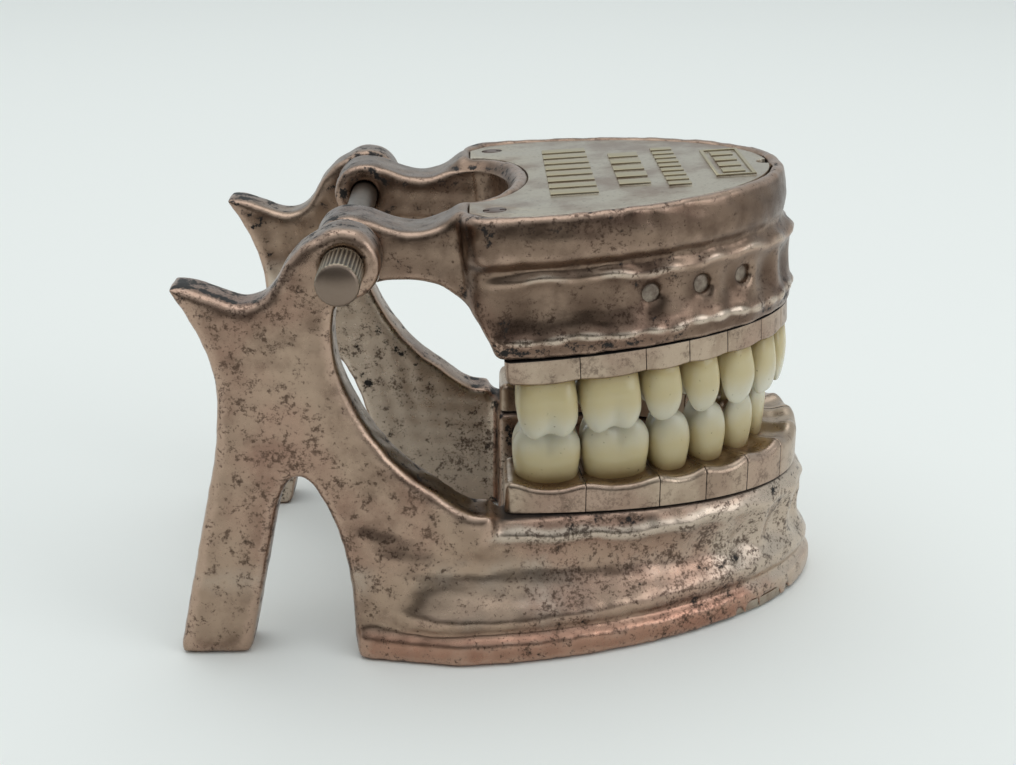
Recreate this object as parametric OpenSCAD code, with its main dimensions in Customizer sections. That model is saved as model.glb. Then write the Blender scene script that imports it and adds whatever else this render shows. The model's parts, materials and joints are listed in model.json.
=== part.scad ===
// Hinged metal typodont: two cast jaws on a cross shaft, with separate gum segments and 28 teeth.
// Frame: +X to the front teeth, +Y to the model's left side, +Z up, the floor at z = 0.

/* [Overall] */
// Length from the rear heels to the front of the base
model_l = 106.6; // [100:0.2:130]
// Width of the base over its flange
base_w = 76; // [74:0.5:92]
// Height of the hinge axis above the floor
hinge_h = 63.5; // [62:0.5:78]
// Distance of the hinge axis ahead of the rear heels
hinge_back = 28.2; // [26:0.2:31]
// Upward tilt of the upper jaw when the teeth meet, degrees
jaw_tilt = 3.44; // [2.5:0.1:4.5]

/* [Hinge] */
// Diameter of the cross shaft
shaft_d = 4.5; // [3:0.1:5.5]
// Radial clearance of the shaft in the ears and in the thumb nuts
ear_fit = 0.03; // [0.01:0.01:0.08]
// Radial clearance of the shaft in the arm eyes
eye_fit = 0.06; // [0.02:0.01:0.1]
// Radius of the hinge ears on the rami
ear_r = 5.6; // [5:0.1:6.5]
// Radius of the hinge eyes on the arms
eye_r = 5.3; // [4.5:0.1:6]
// Side clearance between an arm and a ramus
side_gap = 0.35; // [0.2:0.05:0.8]
// Diameter of the knurled thumb nuts
nut_d = 6.4; // [6:0.1:8.5]
// Length of the thumb nuts
nut_l = 9.8; // [7:0.1:13]

/* [Lower jaw] */
// Clear width between the two rami
rami_gap = 49.2; // [46:0.2:52]
// Thickness of a ramus
ramus_t = 8.3; // [6:0.1:9.5]
// Height of the lower jaw at the gum segments
lower_seam = 22; // [20:0.2:26]
// Half width of the lower jaw at the gum segments
lower_half = 28.6; // [27:0.2:30]
// Depth of the lower jaw at the gum segments, rear molar to incisors
lower_depth = 49.8; // [47:0.2:53]
// Height of the flange round the foot of the base
flange_h = 4.5; // [3:0.1:6]

/* [Upper jaw] */
// Height of the upper jaw from its gum segments to its top rim
upper_h = 22.8; // [20:0.2:25]
// Height of the top rim above the hinge axis
top_rise = 5; // [4:0.1:6]
// How far the upper jaw stands inside the lower at the gum segments, each side
upper_in = 0.1; // [-1.4:0.1:1.6]
// Depth of the upper jaw at the gum segments, rear molar to incisors
upper_depth = 47.1; // [45:0.2:50]
// Overhang of the lip over the cheek sides
lip_out = 2; // [1:0.1:3]
// Set-back of the lip at the front
lip_back = 0.9; // [0:0.1:1.5]
// Height of the lip round the top
lip_h = 8; // [5:0.5:10]
// Clear width between the two arms
arm_gap = 27.4; // [24:0.2:30]

/* [Covers] */
// Thickness of a cover plate
cover_t = 1.6; // [1:0.1:2.4]
// Depth of the top cover below the rim
cover_sink = 0.4; // [0.2:0.1:0.8]
// Width of the rim round the top cover
rim_w = 2.4; // [1.5:0.1:4]
// Clearance round the edge of a cover plate
cover_fit = 0.1; // [0.05:0.05:0.3]
// Height of the raised bars on the top cover
bar_h = 0.4; // [0.2:0.1:0.8]

/* [Gum segments] */
// Height of the upper gum segments
upper_seg_h = 4; // [3:0.2:6]
// Height of the lower gum segments at the molars
lower_seg_h = 4.2; // [3.4:0.2:5]
// Extra height of the lower gum segments at the incisors
seg_rise = 2.6; // [1:0.2:3]
// Width of a gum segment, cheek side to tongue side
seg_w = 12; // [11:0.2:13]
// Gap between neighbouring gum segments
seg_gap = 0.16; // [0.1:0.02:0.4]

/* [Teeth] */
// Set-in of the upper crowns from the cheek side of the gum segments
upper_set_in = 0.2; // [0:0.1:1]
// Set-in of the lower crowns from the cheek side of the gum segments, at the molars
lower_set_in = 3.2; // [3:0.1:4]
// Set-in of the lower crowns from the lip side of the gum segments, at the incisors
lower_front_set_in = 5.6; // [5.2:0.1:6]
// Clearance between upper and lower crowns when closed
bite_gap = 0.45; // [0.3:0.05:0.8]
// Drop of the upper cheek cusps over the lower crowns
overbite = 1.3; // [0.5:0.1:2]
// Gap between neighbouring crowns
crown_gap = 0.16; // [0.1:0.02:0.4]
// Diameter of the root peg under each crown
peg_d = 3.2; // [2.8:0.1:3.6]
// Radial clearance of the root pegs in the gum segments
peg_fit = 0.05; // [0.03:0.01:0.15]
// Diameter of the tooth screws
screw_d = 1.6; // [1.2:0.1:1.8]
// Radial clearance of the tooth screws
screw_fit = 0.05; // [0.03:0.01:0.1]

/* [Hidden] */
$fn = 48;
eps = 0.01;

heel_x = -model_l / 2;
front_x = model_l / 2;
hinge_x = heel_x + hinge_back;
ramus_in = rami_gap / 2;
ramus_out = ramus_in + ramus_t;
arm_out = ramus_in - side_gap;
arm_in = arm_gap / 2;

// Half width of the upper jaw, tied to the lower so that the two rows of teeth meet
upper_half = lower_half - upper_in;

// Both arches start at the rear faces of the second molars
lower_lip_in = 3.9;
upper_lip_in = 7.6;
lower_arch_x = front_x - lower_depth - lower_lip_in;
upper_arch_x = front_x - upper_depth - upper_lip_in;
arch_rear = lower_arch_x - 1.6;

// Base: its round part, its step over the flange and its drawn-in rear corners
base_depth = 62.7;
base_x = front_x - base_depth;
body_rear = heel_x + 28.5;
flange_step = 1.6;
corner_in = 2.9;

// Roundness of the arches: 2 is an ellipse, and more is squarer
base_n = 1.74;
lower_n = 2.3;
upper_n = 2;
lip_n = 2.1;

upper_seam = hinge_h + top_rise - upper_h;
upper_top = hinge_h + top_rise;

// Channel under the tooth screws, set in from the cheek side of the jaw
channel_out = 2.4;
channel_in = 10.8;
mouth_in = 13;
floor_t = 3.5;
arch_end = 84;
mid_web = 4;

screw_head_r = 1.5;
screw_head_h = 1.2;
pocket_r = 1.9;
screw_grip = 3;
cover_screw_r = 1.7;
cover_screw_l = 5;
plug_r = 1.5;
plug_l = 2.5;

// Tooth positions from the midline back: name, width, depth, crown kind
TEETH = [
    ["central_incisor", 9.2, 6.6, "blade"],
    ["lateral_incisor", 6.8, 6.2, "blade"],
    ["canine", 7.8, 7.6, "blade"],
    ["first_premolar", 7.2, 8.6, "two_cusps"],
    ["second_premolar", 7.4, 8.8, "two_cusps"],
    ["first_molar", 10.4, 10, "four_cusps"],
    ["second_molar", 10.2, 9.8, "four_cusps"]
];
LOWER_TEETH = [
    ["central_incisor", 5.6, 5.4, "blade"],
    ["lateral_incisor", 6.1, 5.6, "blade"],
    ["canine", 7, 7, "blade"],
    ["first_premolar", 7.2, 7.4, "two_cusps"],
    ["second_premolar", 7.5, 7.8, "two_cusps"],
    ["first_molar", 11.4, 9, "four_cusps"],
    ["second_molar", 11.2, 8.8, "four_cusps"]
];
TOOTH_COUNT = 7;

// Curves ------------------------------------------------------------------------------------

// Quadratic bend from a to c, pulled towards b, without its last point
function bend(a, b, c, n = 8) =
    [for (i = [0 : n - 1]) let (t = i / n) (1 - t) * (1 - t) * a + 2 * t * (1 - t) * b + t * t * c];

function signed_pow(v, p) = sign(v) * pow(abs(v), p);

// Point on half of a rounded arch: t is 0 at the midline and 90 at the rear on the left side
function arch(t, depth, half, n) =
    [depth * signed_pow(cos(t), 2 / n), half * signed_pow(sin(t), 2 / n)];

// Outward unit normal of the same arch
function arch_normal(t, depth, half, n) =
    let (d = arch(t + 0.5, depth, half, n) - arch(t - 0.5, depth, half, n))
    [d.y, -d.x] / norm(d);

// Arch set out by off, which is negative to set it in
function arch_off(t, depth, half, n, off) =
    arch(t, depth, half, n) + off * arch_normal(t, depth, half, n);

// Outline of the arch from t0 to t1
function arch_run(t0, t1, depth, half, n, off, steps = 12) =
    [for (i = [0 : steps]) arch_off(t0 + (t1 - t0) * i / steps, depth, half, n, off)];

function sum_to(v, k, i = 0) = i >= k ? 0 : v[i] + sum_to(v, k, i + 1);

// The two tooth rows: [depth, half, roundness, [front set-in, side set-in], teeth]
UPPER_ROW = [upper_depth, upper_half, upper_n, [upper_set_in, upper_set_in], TEETH];
LOWER_ROW = [lower_depth, lower_half, lower_n, [lower_front_set_in, lower_set_in], LOWER_TEETH];

// Point of a row at angle t, in from the faces of its crowns
function set_in(row, t) = row[3][1] + (row[3][0] - row[3][1]) * pow(cos(t), 2);
function row_xy(row, t, in) = arch_off(t, row[0], row[1], row[2], -set_in(row, t) - in);

// Table from the length along the crown faces to the angle t
function row_table(row, step = 2) = [
    for (t = 0, s = 0; t <= 90; t = t + step, s = s + norm(row_xy(row, t, 0) - row_xy(row, t - step, 0)))
        [s, t]
];
function row_length(row) = row_table(row)[len(row_table(row)) - 1][0];
function row_widths(row) = [for (tooth = row[4]) tooth[1]];
function row_share(row) = row_length(row) / sum_to(row_widths(row), TOOTH_COUNT);

// Angle along the arch of the front edge of tooth k
function edge_t(row, k) = lookup(sum_to(row_widths(row), k) * row_share(row), row_table(row));

// Angle of the middle of tooth k, and its crown width
function mid_t(row, k) = lookup(
    (sum_to(row_widths(row), k) + row[4][k][1] / 2) * row_share(row), row_table(row));
function crown_w(row, k) = row[4][k][1] * row_share(row) - crown_gap;

// Plan position of tooth k and the direction that its cheek face looks in
function tooth_xy(row, k) = row_xy(row, mid_t(row, k), row[4][k][2] / 2);
function tooth_turn(row, k) =
    let (n = arch_normal(mid_t(row, k), row[0], row[1], row[2])) atan2(n.y, n.x);

// Bite plane, tilted with the upper jaw: height at x above the floor
gum_curve = 1.2;
upper_crown_h = 7.7;
bite_drop = 0.35;
function bite_z(x) =
    upper_seam - upper_seg_h - upper_crown_h + (x - hinge_x) * tan(jaw_tilt) - bite_drop;

// Thickness of the cheek lobes that hang over the lower crowns
lobe_t = 2.2;
function lower_gum_h(k) = lower_seg_h + seg_rise * pow(1 - k / (TOOTH_COUNT - 1), gum_curve);

// Puts what is drawn with the upper jaw level into its place
module upper_place() {
    translate([hinge_x, 0, hinge_h])
        rotate([0, -jaw_tilt, 0])
            translate([-hinge_x, 0, -hinge_h])
                children();
}

module both_sides() {
    children();
    mirror([0, 1, 0]) children();
}

module slab(points, z0, z1) {
    translate([0, 0, z0])
        linear_extrude(z1 - z0)
            polygon(points);
}

// Side-view outline in X and Z, made a plate from y0 to y1
module side_plate(points, y0, y1) {
    translate([0, y1, 0])
        rotate([90, 0, 0])
            linear_extrude(y1 - y0)
                polygon(points);
}

module cross_rod(r, y0, y1) {
    translate([hinge_x, y1, hinge_h])
        rotate([90, 0, 0])
            cylinder(r = r, h = y1 - y0);
}

// Lower jaw ---------------------------------------------------------------------------------

function shift(points, x) = [for (p = points) p + [x, 0]];

function base_outline(inset) = concat(
    [[body_rear, -base_w / 2 + corner_in + inset]],
    shift(arch_run(-90, 90, base_depth, base_w / 2, base_n, -inset, 48), base_x),
    [[body_rear, base_w / 2 - corner_in - inset]]
);

function seam_outline() = concat(
    [[body_rear, -ramus_out - 0.6]],
    shift(arch_run(-88, 88, lower_depth, lower_half, lower_n, 0, 40), lower_arch_x),
    [[body_rear, ramus_out + 0.6]]
);

// Point from the hinge axis, and point from the heel and the floor
function high(dx, dz) = [hinge_x + dx, hinge_h + dz];
function low(dx, z) = [heel_x + dx, z];

function ramus_outline() = concat(
    [low(0, 0), low(11.4, 0)],
    bend(low(17, 26), low(19.6, 33.5), low(22.7, 28.1)),
    bend(low(22.7, 28.1), low(27.7, 19.5), low(27.9, 6)),
    [low(27.9, 6), low(28.2, 0), low(50, 0), low(50, lower_seam + 1.5)],
    bend(low(47, lower_seam + 1.4), low(44.5, lower_seam + 2.4), low(41.5, lower_seam + 5.2)),
    bend(low(41.5, lower_seam + 5.2), low(32.5, 32.5), high(-0.2, -19.5)),
    bend(high(-0.2, -19.5), high(-3.2, -13), high(-1, -4)),
    [high(0, 0)],
    bend(high(-3.7, 4.2), high(-7.7, 2.5), high(-9.8, -2.2)),
    bend(high(-9.8, -2.2), high(-12.7, -8), high(-18.7, -4.9)),
    bend(high(-18.7, -4.9), high(-22.2, -3.2), high(-26.3, -2.9)),
    bend(high(-26.3, -2.9), high(-19, -13.5), high(-19.8, -21.5)),
    bend(high(-19.8, -21.5), low(8.2, 35), low(6.2, 27.6)),
    [low(6.2, 27.6)]
);

function channel_outline(row, x) = concat(
    shift(arch_run(mid_web, arch_end, row[0], row[1], row[2], -channel_out, 24), x),
    shift(arch_run(arch_end, mid_web, row[0], row[1], row[2], -channel_in, 24), x)
);

function mouth_outline(row, x) = concat(
    [[x - 12, -row[1] + mouth_in]],
    shift(arch_run(-89, 89, row[0], row[1], row[2], -mouth_in, 40), x),
    [[x - 12, row[1] - mouth_in]]
);

cover_rear = 0.8;
cover_in = 1.4;

// U-shaped plate under the arch, a little wider than the jaw at its gums
function bottom_cover_outline(inset) = concat(
    [[lower_arch_x - cover_rear + inset, -lower_half - 1 + inset]],
    shift(arch_run(-89, 89, lower_depth, lower_half, lower_n, 1 - inset, 40), lower_arch_x),
    [[lower_arch_x - cover_rear + inset, lower_half + 1 - inset]],
    [[lower_arch_x - cover_rear + inset, lower_half - mouth_in + cover_in + inset]],
    shift(arch_run(89, -89, lower_depth, lower_half, lower_n, -mouth_in + cover_in + inset, 40),
        lower_arch_x),
    [[lower_arch_x - cover_rear + inset, -lower_half + mouth_in - cover_in - inset]]
);

// Bottom cover screws: at the two rear ends and at the front of the arch
function bottom_screw_xy() = concat(
    [for (side = [-1, 1]) [lower_arch_x + 1.5, side * (lower_half - 6.5)]],
    [[lower_arch_x + lower_depth - 1.2, 0]]
);

module cover_screw(z0, up) {
    translate([0, 0, z0])
        mirror([0, 0, up ? 1 : 0])
            union() {
                difference() {
                    cylinder(r = cover_screw_r, h = cover_t / 2);
                    translate([-cover_screw_r, -0.25, -eps])
                        cube([2 * cover_screw_r, 0.5, 0.4 + eps]);
                }
                cylinder(r = screw_d / 2, h = cover_screw_l);
            }
}

module tooth_screw_holes(row, x, z0, z1) {
    both_sides()
        for (k = [0 : TOOTH_COUNT - 1])
            translate([tooth_xy(row, k).x + x, tooth_xy(row, k).y, z0])
                cylinder(r = screw_d / 2 + screw_fit, h = z1 - z0);
}

// Round pocket over each tooth screw, from the channel's floor at z0 to z1
module screw_pockets(row, x, z0, z1) {
    both_sides()
        for (k = [0 : TOOTH_COUNT - 1])
            translate([tooth_xy(row, k).x + x, tooth_xy(row, k).y, z0])
                cylinder(r = pocket_r, h = z1 - z0);
}

module lower_jaw() {
    color("rosybrown")
        difference() {
            union() {
                slab(base_outline(0), 0, flange_h);
                hull() {
                    slab(base_outline(flange_step), flange_h / 2, flange_h);
                    slab(seam_outline(), lower_seam - 0.5, lower_seam);
                }
                both_sides() {
                    side_plate(ramus_outline(), ramus_in - 1, ramus_out);
                    cross_rod(ear_r, ramus_in - 1, ramus_out);
                }
            }
            // Open space between the rami and inside the arch
            translate([heel_x - 1, -ramus_in, -1])
                cube([arch_rear - heel_x + 1, 2 * ramus_in, hinge_h + 2 * ear_r]);
            slab(mouth_outline(LOWER_ROW, lower_arch_x), -1, lower_seam + 1);
            // Channel for the tooth screws, and the seat of the bottom cover
            both_sides()
                slab(channel_outline(LOWER_ROW, lower_arch_x), 0.5, lower_seam - floor_t - 1);
            screw_pockets(LOWER_ROW, lower_arch_x, 0.6, lower_seam - floor_t);
            slab(bottom_cover_outline(-cover_fit), -1, cover_sink + cover_t);
            tooth_screw_holes(LOWER_ROW, lower_arch_x, lower_seam - floor_t - 1, lower_seam + 1);
            for (p = bottom_screw_xy())
                translate([p.x, p.y, 0])
                    cylinder(r = screw_d / 2 + screw_fit, h = cover_sink + cover_screw_l + 1);
            both_sides()
                cross_rod(shaft_d / 2 + ear_fit, ramus_in - 1, ramus_out + 1);
        }
}

module bottom_cover() {
    color("tan")
        difference() {
            slab(bottom_cover_outline(0), cover_sink, cover_sink + cover_t);
            for (p = bottom_screw_xy())
                translate([p.x, p.y, 0]) {
                    cylinder(r = screw_d / 2 + screw_fit, h = cover_sink + cover_t + 1);
                    cylinder(r = cover_screw_r + cover_fit, h = cover_sink + cover_t / 2);
                }
        }
}

module bottom_cover_screws() {
    color("dimgray")
        for (p = bottom_screw_xy())
            translate([p.x, p.y, 0])
                cover_screw(cover_sink, false);
}

// Upper jaw ---------------------------------------------------------------------------------

function arm_outline() = concat(
    [high(0, 0), high(0, -eye_r)],
    bend(high(2, -eye_r - 0.4), high(8, -4.2), high(13.5, -6.4)),
    bend(high(13.5, -6.4), high(19, -9.8), high(21.4, top_rise - upper_h)),
    [high(21.4, top_rise - upper_h), [front_x, upper_seam], [front_x, upper_top]],
    bend(high(17, top_rise), high(12, 0.2), high(5.5, 3.5)),
    bend(high(5.5, 3.5), high(3, eye_r - 0.3), high(0, eye_r))
);

// Radius of the rear corners of the upper jaw
rear_r = 5.5;

// Plan outline of the upper jaw, set out by side at the cheeks and set back by back at the front
function upper_outline(side, back) = concat(
    [[upper_arch_x - 6, -arm_out]],
    [for (a = [190 : 20 : 270])
        [upper_arch_x - 1, -upper_half - side + rear_r] + rear_r * [cos(a), sin(a)]],
    shift(arch_run(-88, 88, upper_depth - back, upper_half + side, lip_n, 0, 48), upper_arch_x),
    [for (a = [90 : 20 : 170])
        [upper_arch_x - 1, upper_half + side - rear_r] + rear_r * [cos(a), sin(a)]],
    [[upper_arch_x - 6, arm_out]]
);

notch_tip = upper_arch_x + 1.2;
notch_run = 6.6;

// U notch between the arms, set out by off
function notch_outline(off) = concat(
    [[hinge_x - 20, -arm_in - off]],
    shift(arch_run(-90, 90, notch_run + off, arm_in + off, 2, 0, 24), notch_tip - notch_run),
    [[hinge_x - 20, arm_in + off]]
);

function top_cover_outline(inset) = concat(
    [[upper_arch_x - 5 + inset, -upper_half + 5]],
    [[upper_arch_x - 2 + inset, -upper_half - lip_out + rim_w + 1.4 + inset]],
    shift(arch_run(-86, 86, upper_depth - lip_back, upper_half + lip_out, lip_n, -rim_w - inset, 48),
        upper_arch_x),
    [[upper_arch_x - 2 + inset, upper_half + lip_out - rim_w - 1.4 - inset]],
    [[upper_arch_x - 5 + inset, upper_half - 5]]
);

notch_rim = 3.4;
top_screw_x = upper_arch_x - 1.2;
top_screw_in = 6.1;
top_screw_y = upper_half - top_screw_in;

module top_cover_blank(inset, z0, z1) {
    difference() {
        slab(top_cover_outline(inset), z0, z1);
        slab(notch_outline(notch_rim + inset), z0 - 1, z1 + 1);
    }
}

plug_t = [38, 50, 62];
plug_h = 8.5;
plug_fit = 0.03;
function plug_xy(t) = arch_off(t, upper_depth, upper_half, upper_n, 0) + [upper_arch_x, 0];
function plug_turn(t) = let (n = arch_normal(t, upper_depth, upper_half, upper_n)) atan2(n.y, n.x);

module plug_shape(r, extra) {
    both_sides()
        for (t = plug_t)
            translate([plug_xy(t).x, plug_xy(t).y, upper_seam + plug_h])
                rotate([0, 0, plug_turn(t)])
                    translate([-plug_l, 0, 0])
                        rotate([0, 90, 0])
                            cylinder(r = r, h = plug_l + extra);
}

module upper_jaw() {
    roof_z = upper_seam + 8.8;
    color("rosybrown")
        upper_place()
            difference() {
                union() {
                    intersection() {
                        union() {
                            slab(upper_outline(0, 0), upper_seam, upper_top - lip_h);
                            slab(upper_outline(lip_out, lip_back), upper_top - lip_h, upper_top);
                            translate([hinge_x - 20, -arm_out, upper_seam])
                                cube([upper_arch_x - hinge_x + 15, 2 * arm_out, upper_h]);
                        }
                        side_plate(arm_outline(), -60, 60);
                    }
                    both_sides()
                        cross_rod(eye_r, arm_in, arm_out);
                }
                slab(notch_outline(0), upper_seam - 1, upper_top + 20);
                // Vault of the palate, open towards the mouth
                slab(mouth_outline(UPPER_ROW, upper_arch_x), upper_seam - 1, roof_z);
                // Cavity over the palate and channel for the tooth screws
                slab(shift(arch_run(-62, 62, upper_depth, upper_half, upper_n, -6, 40), upper_arch_x),
                    roof_z + 3, upper_top - 1);
                both_sides()
                    slab(channel_outline(UPPER_ROW, upper_arch_x), upper_seam + floor_t + 1, upper_top - 1);
                screw_pockets(UPPER_ROW, upper_arch_x, upper_seam + floor_t, upper_top - 1.2);
                top_cover_blank(-cover_fit, upper_top - cover_sink - cover_t, upper_top + 1);
                tooth_screw_holes(UPPER_ROW, upper_arch_x, upper_seam - 1, upper_seam + floor_t + 1);
                both_sides()
                    translate([top_screw_x, top_screw_y, upper_top - cover_sink - cover_screw_l - 1])
                        cylinder(r = screw_d / 2 + screw_fit, h = cover_screw_l + 1);
                plug_shape(plug_r + plug_fit, 3);
                both_sides()
                    cross_rod(shaft_d / 2 + eye_fit, arm_in - 1, arm_out + 1);
            }
}

// Row of plain raised bars across the cover
module bar_row(x, y0, y1, length, count) {
    pitch = (y1 - y0) / count;
    for (i = [0 : count - 1])
        translate([x, y0 + (i + 0.2) * pitch, upper_top - cover_sink - eps])
            cube([length, pitch * 0.6, bar_h + eps]);
}

module top_cover() {
    color("peru")
        upper_place()
            difference() {
                union() {
                    top_cover_blank(0, upper_top - cover_sink - cover_t, upper_top - cover_sink);
                    bar_row(upper_arch_x + 7.5, -17, 19, 7.5, 8);
                    bar_row(upper_arch_x + 18.5, -13, 13, 5, 5);
                    bar_row(upper_arch_x + 26, -15, 15, 3.6, 9);
                    difference() {
                        translate([upper_arch_x + 34, -10, upper_top - cover_sink - eps])
                            cube([6.4, 20, bar_h + eps]);
                        translate([upper_arch_x + 34.6, -9.4, upper_top - cover_sink - 2 * eps])
                            cube([5.2, 18.8, bar_h + 1]);
                    }
                    bar_row(upper_arch_x + 35.4, -8.6, 8.6, 3.6, 4);
                }
                both_sides()
                    translate([top_screw_x, top_screw_y, upper_top - cover_sink - cover_t - 1]) {
                        cylinder(r = screw_d / 2 + screw_fit, h = cover_t + 2);
                        translate([0, 0, 1 + cover_t / 2])
                            cylinder(r = cover_screw_r + cover_fit, h = cover_t + 2);
                    }
                // Prise notch at the front edge
                translate([upper_arch_x + upper_depth - lip_back - rim_w - 0.2, 0,
                    upper_top - cover_sink - 0.8])
                    cylinder(r = 1.6, h = 2);
            }
}

module top_cover_screws() {
    color("dimgray")
        upper_place()
            both_sides()
                translate([top_screw_x, top_screw_y, 0])
                    cover_screw(upper_top - cover_sink, true);
}

module cheek_plugs() {
    color("slategray")
        upper_place()
            plug_shape(plug_r, 0);
}

// Hinge -------------------------------------------------------------------------------------

nut_gap = 0.12;
nut_wall = 1.6;

module hinge_shaft() {
    reach = ramus_out + nut_gap + nut_l - nut_wall - 0.2;
    color("silver")
        cross_rod(shaft_d / 2, -reach, reach);
}

// Straight-knurled nut with a plain, slightly domed end
module thumb_nut() {
    y0 = ramus_out + nut_gap;
    knurls = 30;
    groove_r = 0.22;
    dome_h = 0.6;
    color("silver")
        difference() {
            intersection() {
                cross_rod(nut_d / 2, y0, y0 + nut_l);
                translate([hinge_x, y0 + nut_l - 3 * nut_d, hinge_h])
                    sphere(r = 3 * nut_d, $fn = 96);
            }
            cross_rod(shaft_d / 2 + ear_fit, y0 - 1, y0 + nut_l - nut_wall);
            for (i = [0 : knurls - 1])
                translate([
                    hinge_x + nut_d / 2 * cos(i * 360 / knurls), y0 + nut_l - dome_h - 0.4,
                    hinge_h + nut_d / 2 * sin(i * 360 / knurls)
                ])
                    rotate([90, 0, 0])
                        cylinder(r = groove_r, h = nut_l, $fn = 4);
        }
}

module left_thumb_nut() {
    thumb_nut();
}

module right_thumb_nut() {
    mirror([0, 1, 0]) thumb_nut();
}

// Gum segments ------------------------------------------------------------------------------

// Segment of the jaw's gum under tooth k, from the seam to height h, with the bore for the root peg
module gum_segment(row, k, x, h) {
    t0 = edge_t(row, k);
    t1 = k == TOOTH_COUNT - 1 ? 90 : edge_t(row, k + 1);
    // Half the gap as an angle, on the cheek side
    dt = (t1 - t0) * seg_gap / 2 / crown_w(row, k);
    back = k == TOOTH_COUNT - 1 ? 1.2 : 0;
    outer = arch_run(t0 + dt, t1 - dt, row[0], row[1], row[2], -0.3, 8);
    inner = arch_run(t1 - dt, t0 + dt, row[0], row[1], row[2], -seg_w, 8);
    heel = back == 0 ? [] : [[-back, row[1] - 2], [-back, row[1] - seg_w + 1.5]];
    difference() {
        translate([x, 0, 0])
            linear_extrude(h)
                polygon(concat(outer, heel, inner));
        translate([tooth_xy(row, k).x + x, tooth_xy(row, k).y, -1])
            cylinder(r = peg_d / 2 + peg_fit, h = h + 2);
    }
}

module upper_gum(k) {
    color("rosybrown")
        upper_place()
            both_sides()
                translate([0, 0, upper_seam])
                    mirror([0, 0, 1])
                        gum_segment(UPPER_ROW, k, upper_arch_x, upper_seg_h);
}

module lower_gum(k) {
    color("rosybrown")
        both_sides()
            translate([0, 0, lower_seam])
                gum_segment(LOWER_ROW, k, lower_arch_x, lower_gum_h(k));
}

// Teeth -------------------------------------------------------------------------------------

module rounded_block(w, d, h) {
    r = min(w, d) * 0.3;
    linear_extrude(h)
        union() {
            square([w - 2 * r, d], center = true);
            square([w, d - 2 * r], center = true);
            for (sx = [-1, 1], sy = [-1, 1])
                translate([sx * (w / 2 - r), sy * (d / 2 - r)])
                    circle(r = r, $fn = 24);
        }
}

// Wedge of plan between a tooth's two neighbours, from in front of its face to behind its back
function wedge(row, k) =
    let (t0 = edge_t(row, k), t1 = k == TOOTH_COUNT - 1 ? 90 : edge_t(row, k + 1))
    let (dt = (t1 - t0) * crown_gap / 2 / crown_w(row, k), back = row[4][k][2] + 1.5)
    [
        row_xy(row, t0 + dt, -1), row_xy(row, t1 - dt, -1),
        row_xy(row, t1 - dt, back), row_xy(row, t0 + dt, back)
    ];

module on_tooth(row, k) {
    translate(tooth_xy(row, k))
        rotate([0, 0, tooth_turn(row, k)])
            children();
}

// Front tooth: a block cut to a blade by the outline of its side view
module blade_crown(row, k, h, skirt) {
    w = row[4][k][1];
    d = row[4][k][2];
    blade_t = 2.2;
    intersection() {
        slab(wedge(row, k), -1, h + skirt + 1);
        on_tooth(row, k)
            intersection() {
                rounded_block(d, w * 1.1, h + skirt);
                rotate([90, 0, 0])
                    translate([0, 0, -w])
                        linear_extrude(2 * w)
                            polygon([[-d / 2 - 1, -1], [d / 2 + 1, -1], [d / 2 + 0.8, h * 0.4],
                                [d / 2 - 0.4, h + skirt + 0.5], [d / 2 - blade_t + 0.4, h + skirt + 0.5],
                                [d / 2 - blade_t, h * 0.75], [-d / 2 - 1, h * 0.2]]);
            }
    }
}

// Back tooth: a block with a cone for each cusp, and lobes for the cheek cusps where it overbites
module cusp_crown(row, k, h, cusp_sides, skirt) {
    w = crown_w(row, k);
    d = row[4][k][2];
    cusp_h = 1.2;
    cusp_r = w / 5 - 0.1;
    lobe_r = w / 2 / len(cusp_sides) - 0.6;
    intersection() {
        slab(wedge(row, k), -1, h + 1);
        on_tooth(row, k)
            rounded_block(d, w * 1.1, h - cusp_h);
    }
    on_tooth(row, k) {
        for (sx = [-1, 1], sy = cusp_sides)
            translate([sx * (d / 4 - 0.2), sy * w / 5, h - cusp_h - eps])
                cylinder(r1 = cusp_r, r2 = cusp_r * 0.5, h = cusp_h + eps);
        if (skirt > 0)
            for (sy = cusp_sides)
                translate([d / 2 - lobe_t, sy * (w / 4 - 0.2), h + skirt - lobe_r])
                    rotate([0, 90, 0])
                        cylinder(r = lobe_r, h = lobe_t - 0.2);
    }
}

// Crown, root peg and the blind hole for its screw, standing on gum of height gum_h
module tooth(row, k, x, gum_h, crown_h, skirt) {
    translate([x, 0, 0])
        difference() {
            union() {
                translate([0, 0, gum_h])
                    if (row[4][k][3] == "blade")
                        blade_crown(row, k, crown_h, skirt);
                    else
                        cusp_crown(row, k, crown_h, row[4][k][3] == "four_cusps" ? [-1, 1] : [0], skirt);
                translate(tooth_xy(row, k))
                    cylinder(r = peg_d / 2, h = gum_h + 1);
            }
            translate([tooth_xy(row, k).x, tooth_xy(row, k).y, -1])
                cylinder(r = screw_d / 2 + screw_fit, h = screw_grip + 1.4);
        }
}

module upper_tooth(k, left) {
    color("wheat")
        upper_place()
            mirror([0, left ? 0 : 1, 0])
                translate([0, 0, upper_seam])
                    mirror([0, 0, 1])
                        tooth(UPPER_ROW, k, upper_arch_x, upper_seg_h, upper_crown_h, overbite);
}

module lower_tooth(k, left) {
    top_z = bite_z(tooth_xy(LOWER_ROW, k).x + lower_arch_x) - bite_gap;
    crown_h = top_z - lower_seam - lower_gum_h(k);
    color("wheat")
        mirror([0, left ? 0 : 1, 0])
            translate([0, 0, lower_seam])
                tooth(LOWER_ROW, k, lower_arch_x, lower_gum_h(k), crown_h, 0);
}

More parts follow.
